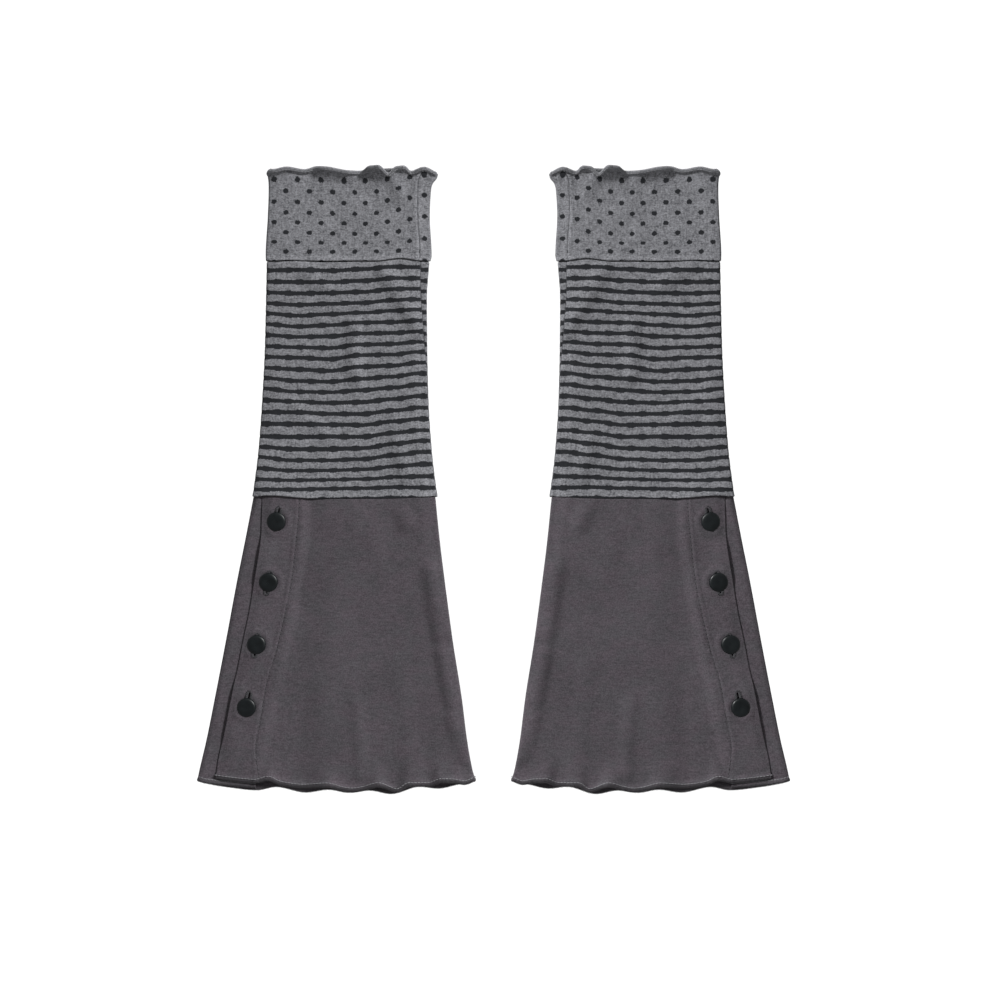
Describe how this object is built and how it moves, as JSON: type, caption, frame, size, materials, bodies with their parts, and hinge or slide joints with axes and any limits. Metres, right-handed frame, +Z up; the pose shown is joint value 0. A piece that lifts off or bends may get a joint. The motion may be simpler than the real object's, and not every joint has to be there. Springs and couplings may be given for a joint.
{
  "type": "pair of leg warmers",
  "caption": "Pair of knitted leg warmers laid flat: dotted cuff, striped tube and flared hem with a buttoned side placket.",
  "frame": {"origin": "on the floor, under the middle of the pair's bounding box", "axes": "+X to the right across the pair, seen from above with the cuffs at the top; +Y from the hems to the cuffs; +Z up from the floor"},
  "size_m": [0.435, 0.4606, 0.0089],
  "materials": {
    "melange_knit": "melange grey cotton knit with near-black dots and stripes, matt",
    "charcoal_jersey": "charcoal cotton jersey, matt, with tone-on-tone stitching",
    "black_button": "near-black moulded plastic, satin, with a bevelled rim"
  },
  "bodies": {
    "root": {"cuff_left": "melange_knit", "cuff_right": "melange_knit", "leg_tube_left": "melange_knit", "leg_tube_right": "melange_knit", "flare_front_left": "charcoal_jersey", "flare_front_right": "charcoal_jersey", "flare_back_left": "charcoal_jersey", "flare_back_right": "charcoal_jersey", "button_left_1": "black_button", "button_left_2": "black_button", "button_left_3": "black_button", "button_left_4": "black_button", "button_right_1": "black_button", "button_right_2": "black_button", "button_right_3": "black_button", "button_right_4": "black_button"}
  },
  "joints": []
}
